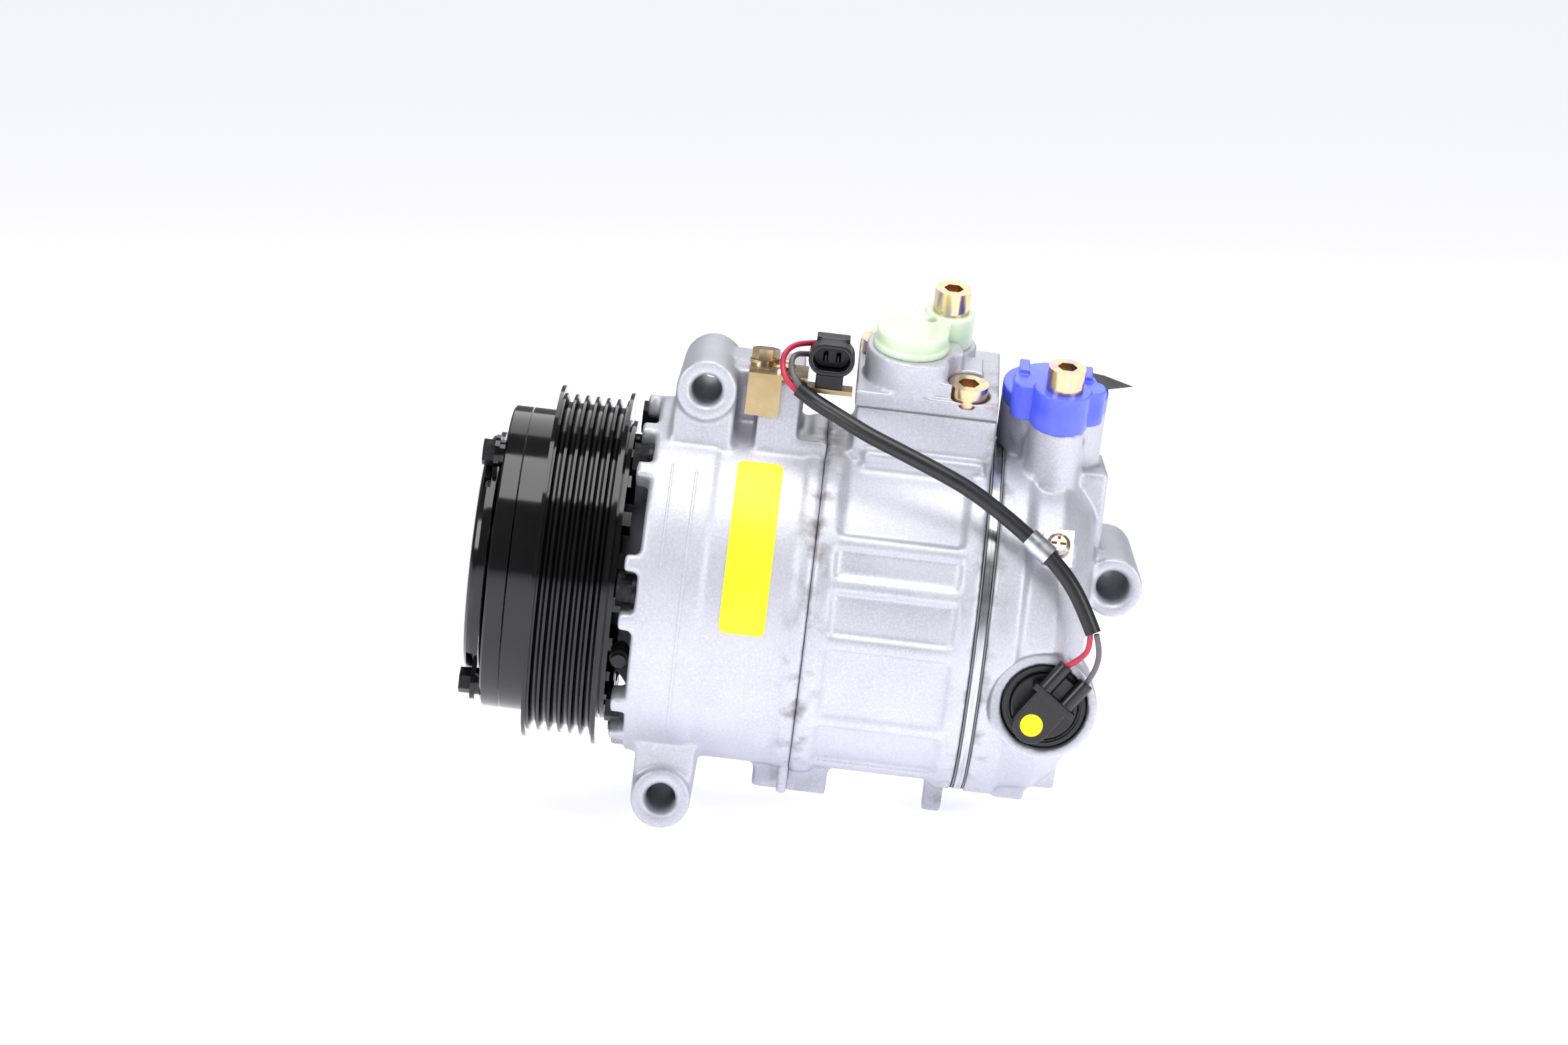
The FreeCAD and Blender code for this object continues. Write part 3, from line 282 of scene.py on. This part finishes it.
def softened(name, node, body, finish, voxel_mm, rounds):
    """A copy of a node with the rounded edges and soft corners of a casting or a moulding."""
    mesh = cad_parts[node].data.copy()
    shape = bmesh.new()
    shape.from_mesh(mesh)
    bmesh.ops.remove_doubles(shape, verts=shape.verts, dist=1e-6)
    shape.to_mesh(mesh)
    shape.free()
    rough = bpy.data.objects.new(name + "_rough", mesh)
    bpy.context.scene.collection.objects.link(rough)
    remesh = rough.modifiers.new("skin", "REMESH")
    remesh.mode = "VOXEL"
    remesh.voxel_size = voxel_mm / 1000
    remesh.use_smooth_shade = True
    smooth = rough.modifiers.new("soft", "SMOOTH")
    smooth.factor = 0.5
    smooth.iterations = rounds
    bpy.context.view_layer.update()
    seen = rough.evaluated_get(bpy.context.evaluated_depsgraph_get())
    piece = bpy.data.objects.new(name, bpy.data.meshes.new_from_object(seen))
    bpy.data.objects.remove(rough)
    bpy.context.scene.collection.objects.link(piece)
    dress(piece, finish)
    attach(piece, body)
    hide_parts(node)
    return piece


for node, voxel in (("front_housing", 1.02), ("cylinder_block", 1.08), ("rear_housing", 0.92)):
    softened("cast_" + node, node, "housing", cast_aluminium, voxel, CAST_ROUNDS)


# ---- valve plate, reed plates and gaskets -------------------------------------------------------------
# A ground steel plate between two spring-steel reed plates, sealed by rubber-coated sheet gaskets. Only
# the edges show, as one bright line between greyer ones.

def turned_steel(name, colour, roughness, line_mm=0.5, depth_mm=0.004):
    """Steel turned or ground about the shaft: fine lines run round it and its sheen varies a little."""
    finish, shader, place = new_finish(name, Metallic=1.0)
    lines = grain(finish, place, line_mm, 2, (1, 0.04, 0.04))
    join(finish, tinted(finish, spread(finish, lines, 0.3, 0.7), linear(colour),
                        [c * 0.72 for c in linear(colour)[:3]] + [1]), shader, "Base Color")
    join(finish, spread(finish, grain(finish, place, 6), 0.3, 0.7, roughness - 0.06, roughness + 0.08),
         shader, "Roughness")
    bumped(finish, shader, lines, depth_mm)
    return finish


def dress_node(node, finish):
    """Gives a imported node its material."""
    dress(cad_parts[node], finish)


ground_steel = turned_steel("ground_steel", "#c9cace", 0.26)
reed_steel = turned_steel("blued_spring_steel", "#5b5e66", 0.3)
gasket_coating = moulded("gasket_coating", "#6e6e70", 0.5, 0.5, 0.02)
dress_node("valve_plate", ground_steel)
dress_node("reed_plates", reed_steel)
dress_node("gaskets", gasket_coating)


# ---- through bolts ------------------------------------------------------------------------------------
# Seven long steel bolts with their washers, phosphated black, and oiled so that they shine a little.

phosphate, shader, place = new_finish("black_phosphate", Metallic=0.75)
mottle = grain(phosphate, place, 1.6, 5)
join(phosphate, tinted(phosphate, spread(phosphate, mottle, 0.35, 0.65), linear("#18181a"),
                       linear("#2f2e30")), shader, "Base Color")
join(phosphate, spread(phosphate, mottle, 0.3, 0.7, 0.28, 0.46), shader, "Roughness")
bumped(phosphate, shader, mottle, 0.02)
dress_node("through_bolts", phosphate)


# ---- discharge port block -----------------------------------------------------------------------------
# A second aluminium casting bolted on the cylinder block. It takes the high-pressure line.

softened("cast_port_block", "discharge_port_block", "housing", cast_aluminium, 0.55, 5)
dress_node("check_valve_poppet", turned_steel("valve_brass", "#c0a15c", 0.3))


# ---- transport caps -----------------------------------------------------------------------------------
# Injection-moulded polythene caps that keep dirt out of the ports: a milky one on the discharge side, a
# blue one on the suction side. Light sinks into both a little way.

milky, shader, place = new_finish("milky_polythene", Roughness=0.28, IOR=1.51, Subsurface_Weight=0.6,
                                  Subsurface_Scale=0.006)
shader.inputs["Subsurface Radius"].default_value = (1.0, 1.0, 0.8)
clouds = grain(milky, place, 12)
join(milky, tinted(milky, spread(milky, clouds, 0.3, 0.7), linear("#bfd3b2"), linear("#cfdfc5")),
     shader, "Base Color")
bumped(milky, shader, grain(milky, place, 3), 0.02)
softened("milky_cap", "discharge_cap", "housing", milky, 0.4, 3)

blue, shader, place = new_finish("blue_polythene", Roughness=0.3, IOR=1.51, Subsurface_Weight=0.35,
                                 Subsurface_Scale=0.004)
shader.inputs["Subsurface Radius"].default_value = (0.3, 0.4, 1.0)
clouds = grain(blue, place, 10)
join(blue, tinted(blue, spread(blue, clouds, 0.3, 0.7), linear("#4a5ae6"), linear("#6070f4")),
     shader, "Base Color")
bumped(blue, shader, grain(blue, place, 3), 0.02)
softened("blue_cap", "suction_cap", "housing", blue, 0.4, 3)


# ---- zinc-plated screws and bracket -------------------------------------------------------------------
# Steel plated with zinc and passivated yellow. The film is so thin that it shows gold, rose and violet
# as its thickness drifts.

yellow_zinc, shader, place = new_finish("yellow_passivated_zinc", Metallic=1.0)
drift = grain(yellow_zinc, place, 5, 2, (1, 1, 0.12))
gold = tinted(yellow_zinc, spread(yellow_zinc, drift, 0.36, 0.52), linear("#b9a8b4"), linear("#d8c08c"))
rose = tinted(yellow_zinc, spread(yellow_zinc, drift, 0.52, 0.64), gold, linear("#dcb6a0"))
haze = grain(yellow_zinc, place, 4, 2, (1, 1, 0.1))
join(yellow_zinc, tinted(yellow_zinc, spread(yellow_zinc, haze, 0.58, 0.74, 0, 0.7), rose,
                         linear("#9cab7c")), shader, "Base Color")
join(yellow_zinc, spread(yellow_zinc, haze, 0.3, 0.7, 0.16, 0.28), shader, "Roughness")
bumped(yellow_zinc, shader, grain(yellow_zinc, place, 0.7), 0.01)
for node in ("socket_screws", "small_screws"):
    dress_node(node, yellow_zinc)

gold_strip, shader, place = new_finish("gold_passivated_strip", Metallic=1.0)
rolled = grain(gold_strip, place, 9, 3)
join(gold_strip, tinted(gold_strip, spread(gold_strip, rolled, 0.3, 0.7), linear("#b39a6c"),
                        linear("#cbb58c")), shader, "Base Color")
join(gold_strip, spread(gold_strip, rolled, 0.3, 0.7, 0.2, 0.3), shader, "Roughness")
bumped(gold_strip, shader, grain(gold_strip, place, 0.8), 0.008)
dress_node("connector_bracket", gold_strip)


# ---- harness connector and clip -----------------------------------------------------------------------
# The connector is glass-filled nylon, black and glossy inside its mouth. The clip round the sleeve is
# bright zinc-plated strip.

black_nylon = moulded("black_nylon", "#101012", 0.3, 0.5, 0.012, IOR=1.53)
softened("connector_shell", "harness_connector", "housing", black_nylon, 0.28, 2)
bright_zinc, shader, place = new_finish("bright_zinc", Metallic=1.0)
streaks = grain(bright_zinc, place, 2.5, 4)
join(bright_zinc, tinted(bright_zinc, spread(bright_zinc, streaks, 0.3, 0.7), linear("#b9bcc0"),
                         linear("#d2d5d8")), shader, "Base Color")
join(bright_zinc, spread(bright_zinc, streaks, 0.3, 0.7, 0.28, 0.4), shader, "Roughness")
bumped(bright_zinc, shader, streaks, 0.01)
dress_node("cable_clamp", bright_zinc)


# ---- displacement control valve -----------------------------------------------------------------------
# A solenoid cartridge in a bore of the rear housing, under a round cap that carries its plug. Both
# mouldings are black glass-filled nylon.

softened("valve_cap", "control_valve_cap", "housing", black_nylon, 0.3, 2)
softened("valve_plug_body", "valve_plug", "housing", black_nylon, 0.26, 2)
dress_node("control_valve_body", turned_steel("valve_steel", "#a9abb0", 0.3))
dress_node("control_valve_plunger", ground_steel)


# ---- label --------------------------------------------------------------------------------------------
# A plain yellow vinyl sticker on the flank of the front housing. Its four corners are rounded.

LABEL_WIDTH, LABEL_LENGTH, LABEL_ARC = 0.0150, 0.0608, (36.5, 95.5)
LABEL_MIDDLE, LABEL_RADIUS, LABEL_THICKNESS, LABEL_STEPS = 0.0570, 0.05918, 0.00014, 40

vinyl, shader, place = new_finish("yellow_vinyl", Roughness=0.42, IOR=1.46)
faded = grain(vinyl, place, 15)
join(vinyl, tinted(vinyl, spread(vinyl, faded, 0.3, 0.7), linear("#efe21a"), linear("#f6ee26")),
     shader, "Base Color")
bumped(vinyl, shader, grain(vinyl, place, 1.2), 0.015)

shape = bmesh.new()
bmesh.ops.create_grid(shape, x_segments=1, y_segments=1, size=0.5)
bmesh.ops.scale(shape, verts=shape.verts, vec=(LABEL_WIDTH, LABEL_LENGTH, 1))
bmesh.ops.bevel(shape, geom=shape.verts[:], offset=0.0024, segments=6, profile=0.5, affect="VERTICES",
                material=-1)
for step in range(1, LABEL_STEPS):
    height = LABEL_LENGTH * (step / LABEL_STEPS - 0.5)
    bmesh.ops.bisect_plane(shape, geom=shape.verts[:] + shape.edges[:] + shape.faces[:],
                           plane_co=(0, height, 0), plane_no=(0, 1, 0))
bmesh.ops.solidify(shape, geom=shape.faces[:], thickness=LABEL_THICKNESS)


def wrapped(shape, station, radius, middle):
    """Bends a flat shape round the shaft, its underside on that radius and its middle at that angle."""
    underside = min(v.co.z for v in shape.verts)
    for v in shape.verts:
        turned = middle + v.co.y / radius
        out = radius + v.co.z - underside
        v.co = (station + v.co.x, -out * math.sin(turned), out * math.cos(turned))
    bmesh.ops.recalc_face_normals(shape, faces=shape.faces[:])


def finished(name, shape, finish, body, smooth=True):
    """A new piece from a bmesh, dressed and riding on a body."""
    mesh = bpy.data.meshes.new(name)
    for face in shape.faces:
        face.smooth = smooth
    shape.to_mesh(mesh)
    shape.free()
    piece = bpy.data.objects.new(name, mesh)
    bpy.context.scene.collection.objects.link(piece)
    dress(piece, finish)
    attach(piece, body)
    return piece


wrapped(shape, LABEL_MIDDLE, LABEL_RADIUS, math.radians(sum(LABEL_ARC) / 2))
finished("plain_label", shape, vinyl, "housing", smooth=False)


# ---- parting line of the front housing ----------------------------------------------------------------
# The trimmed flash where the two halves of the die met, in the plane of the lugs, and a shorter witness
# line beside the flange. Both stand a quarter of a millimetre proud.

BARREL_RADIUS, FLASH_FOOT, FLASH_HEIGHT = 0.0600, 0.0004, 0.00065
ARC_STEPS = 60

for name, station, width, low_turn, high_turn in (("parting_line", 0.0365, 0.0010, 44, 139),
                                                  ("flange_line", 0.0285, 0.0008, 42, 77)):
    inner = BARREL_RADIUS - FLASH_FOOT
    arc = inner * math.radians(high_turn - low_turn)
    shape = bmesh.new()
    bmesh.ops.create_cube(shape, size=1)
    bmesh.ops.scale(shape, verts=shape.verts, vec=(width, arc, FLASH_HEIGHT))
    bmesh.ops.bevel(shape, geom=shape.edges[:], offset=0.0002, segments=2, profile=0.5, affect="EDGES",
                    material=-1)
    for step in range(1, ARC_STEPS):
        bmesh.ops.bisect_plane(shape, geom=shape.verts[:] + shape.edges[:] + shape.faces[:],
                               plane_co=(0, arc * (step / ARC_STEPS - 0.5), 0), plane_no=(0, 1, 0))
    wrapped(shape, station, inner, math.radians(low_turn + high_turn) / 2)
    finished(name, shape, cast_aluminium, "housing")


# ---- carton tab ---------------------------------------------------------------------------------------
# A flat wedge of grey foam rubber, pushed in under the rim of the blue cap at the back.

PORT_LEAN = math.radians(17)
TAB_LEVEL, TAB_THICKNESS = 0.0819, 0.0018
TAB_OUTLINE = ((0.1632, 0.0095), (0.1696, 0.0126), (0.1768, 0.0164), (0.1671, 0.0226), (0.1632, 0.0236))

shape = bmesh.new()
outline = [shape.verts.new((x, across, TAB_LEVEL)) for x, across in TAB_OUTLINE]
shape.faces.new(outline)
bmesh.ops.solidify(shape, geom=shape.faces[:], thickness=TAB_THICKNESS)
bmesh.ops.recalc_face_normals(shape, faces=shape.faces[:])
bmesh.ops.bevel(shape, geom=[e for e in shape.edges if e.calc_face_angle() > 1], offset=0.0002, segments=2,
                profile=0.5, affect="EDGES", material=-1)
bmesh.ops.transform(shape, verts=shape.verts, matrix=Matrix.Rotation(PORT_LEAN, 4, "X"))
tab = finished("carton_tab", shape, moulded("grey_foam_tab", "#56565a", 0.55, 0.8, 0.05), "housing",
               smooth=False)
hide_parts("transport_tab")


# ---- paint dot and rim on the control valve -----------------------------------------------------------
# A round dab of yellow paint on the nose of the plug, and the raised moulded rim round the nylon cap.

VALVE_AXIS = Vector((0.158, 0, -0.019))
DOT_SPOT = Vector((0.1543, -0.05903, -0.0242))

paint = moulded("yellow_test_paint", "#ffdd00", 0.4, 1.5, 0.02, IOR=1.48)
shape = bmesh.new()
bmesh.ops.create_cone(shape, segments=56, radius1=0.0038, radius2=0.0036, depth=0.00022, cap_ends=True)
bmesh.ops.bevel(shape, geom=[e for e in shape.edges if e.calc_face_angle() > 1], offset=0.00006, segments=2,
                profile=0.5, affect="EDGES", material=-1)
bmesh.ops.transform(shape, verts=shape.verts, matrix=Matrix.Translation(DOT_SPOT)
                    @ Matrix.Rotation(math.radians(90), 4, "X"))
finished("yellow_dot", shape, paint, "housing", smooth=False)

shape = bmesh.new()
corners = [shape.verts.new((VALVE_AXIS.x + out, y, VALVE_AXIS.z))
           for out, y in ((0.0122, -0.0503), (0.0122, -0.0514), (0.0134, -0.0514), (0.0134, -0.0503))]
section = shape.faces.new(corners)
bmesh.ops.spin(shape, geom=[section, *section.edges, *corners], cent=VALVE_AXIS, axis=(0, 1, 0),
               angle=math.tau, steps=72, use_merge=True)
bmesh.ops.delete(shape, geom=[f for f in shape.faces if f is section], context="FACES_ONLY")
bmesh.ops.remove_doubles(shape, verts=shape.verts, dist=1e-6)
bmesh.ops.recalc_face_normals(shape, faces=shape.faces[:])
finished("valve_cap_rim", shape, black_nylon, "housing", smooth=False)


# ---- belt pulley and clutch ---------------------------------------------------------------------------
# Steel rotor, friction plate, stamped cup and coil shell, stove-enamelled gloss black. The hub is bare
# turned steel and its nut is plated.

enamel, shader, place = new_finish("black_stove_enamel", IOR=1.48)
flow = grain(enamel, place, 8, 3)
join(enamel, tinted(enamel, spread(enamel, flow, 0.3, 0.7), linear("#050506"), linear("#0b0b0c")),
     shader, "Base Color")
join(enamel, spread(enamel, flow, 0.3, 0.7, 0.07, 0.13), shader, "Roughness")
bumped(enamel, shader, grain(enamel, place, 1.4), 0.003)
for node in ("rotor_pulley", "armature_plate", "clutch_cup", "coil_shell"):
    dress_node(node, enamel)
dress_node("ear_bolts", phosphate)
dress_node("clutch_hub", turned_steel("hub_steel", "#8d8f94", 0.34))
dress_node("hub_nut", yellow_zinc)
dress_node("circlips", reed_steel)
black_rubber = moulded("black_rubber", "#141414", 0.62, 0.5, 0.03)
for node in ("rubber_damper", "coil_lead_grommet", "rubber_seals"):
    dress_node(node, black_rubber)
winding, shader, place = new_finish("enamelled_copper", Metallic=0.85, Coat_Weight=0.5)
turns = grain(winding, place, 0.8, 1, (1, 0.05, 0.05))
join(winding, tinted(winding, spread(winding, turns, 0.3, 0.7), linear("#7a3a1c"), linear("#b8693a")),
     shader, "Base Color")
join(winding, spread(winding, turns, 0.3, 0.7, 0.3, 0.45), shader, "Roughness")
bumped(winding, shader, turns, 0.1)
dress_node("coil_winding", winding)


# ---- bearings, shaft and pumping parts ----------------------------------------------------------------
# Hidden inside: ground steel shaft and bearings, a cast-iron swash plate sprayed with bronze, and seven
# aluminium pistons with a grey coating and polished steel shoes.

for node in ("bearing_inner_race", "bearing_outer_race", "bearing_balls", "shaft_bearings", "drive_shaft",
             "hinge_pin"):
    dress_node(node, ground_steel)
dress_node("swash_return_spring", reed_steel)
dress_node("lug_plate", turned_steel("cast_iron", "#6f6e6c", 0.5, 1.2, 0.03))
dress_node("swash_sleeve", turned_steel("hardened_sleeve", "#9a9ba0", 0.24))
dress_node("swash_plate", turned_steel("sprayed_bronze", "#a8884e", 0.42, 0.8, 0.02))
piston_metal = turned_steel("coated_piston", "#9a9c9a", 0.4, 0.7, 0.015)
shoe_metal = turned_steel("polished_shoe", "#d6d7da", 0.18)
for number in range(1, 8):
    dress_node(f"piston_{number}", piston_metal)
    dress_node(f"shoe_pair_{number}", shoe_metal)
